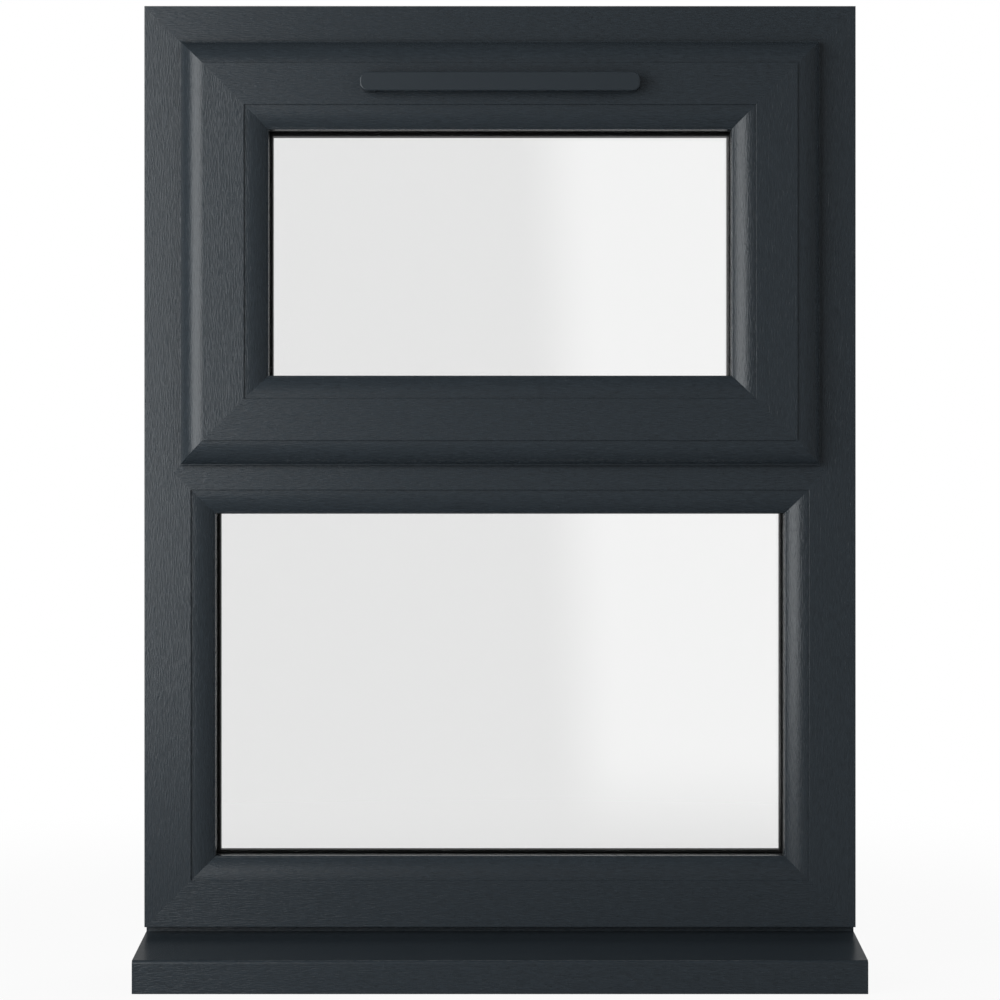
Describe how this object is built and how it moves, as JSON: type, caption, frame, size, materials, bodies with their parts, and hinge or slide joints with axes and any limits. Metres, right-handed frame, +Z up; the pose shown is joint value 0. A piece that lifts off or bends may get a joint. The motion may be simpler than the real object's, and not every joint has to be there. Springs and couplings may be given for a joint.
{
  "type": "top-hung window",
  "caption": "Top-hung casement window: moulded outer frame with transom, opening sash over a fixed light, double glazing, trickle vent and projecting cill.",
  "frame": {"origin": "on the cill's flat underside, at mid-width, below the frame's outside face", "axes": "+X to the right seen from outside, +Y into the room, +Z up"},
  "size_m": [0.61, 0.177, 0.8329],
  "materials": {
    "foil_across": "satin anthracite foil, grain across",
    "foil_upright": "satin anthracite foil, grain upright",
    "cap_plastic": "satin anthracite moulding",
    "seal_rubber": "black seal",
    "pane_glass": "clear float glass",
    "spacer_plastic": "black warm-edge spacer",
    "handle_paint": "satin anthracite paint",
    "stay_steel": "brushed"
  },
  "bodies": {
    "root": {"frame_head": "foil_across", "frame_left_jamb": "foil_upright", "frame_right_jamb": "foil_upright", "frame_bottom_rail": "foil_across", "transom": "foil_across", "cill": "foil_across", "cill_end_cap_left": "cap_plastic", "cill_end_cap_right": "cap_plastic", "fixed_bead_bottom": "foil_across", "fixed_bead_left": "foil_upright", "fixed_bead_right": "foil_upright", "fixed_bead_top": "foil_across", "fixed_outer_gasket": "seal_rubber", "fixed_inner_gasket": "seal_rubber", "fixed_outer_pane": "pane_glass", "fixed_inner_pane": "pane_glass", "fixed_spacer": "spacer_plastic", "sash_head": "foil_across", "sash_left_stile": "foil_upright", "sash_right_stile": "foil_upright", "sash_bottom_rail": "foil_across", "sash_bead_bottom": "foil_across", "sash_bead_left": "foil_upright", "sash_bead_right": "foil_upright", "sash_bead_top": "foil_across", "sash_outer_gasket": "seal_rubber", "sash_inner_gasket": "seal_rubber", "sash_outer_pane": "pane_glass", "sash_inner_pane": "pane_glass", "sash_spacer": "spacer_plastic", "sash_outer_seal": "seal_rubber", "sash_inner_seal": "seal_rubber", "vent_canopy": "cap_plastic", "vent_controller": "cap_plastic", "vent_slider": "cap_plastic", "handle_base": "handle_paint", "handle_lever": "handle_paint", "stay_left": "stay_steel", "stay_right": "stay_steel"}
  },
  "joints": []
}
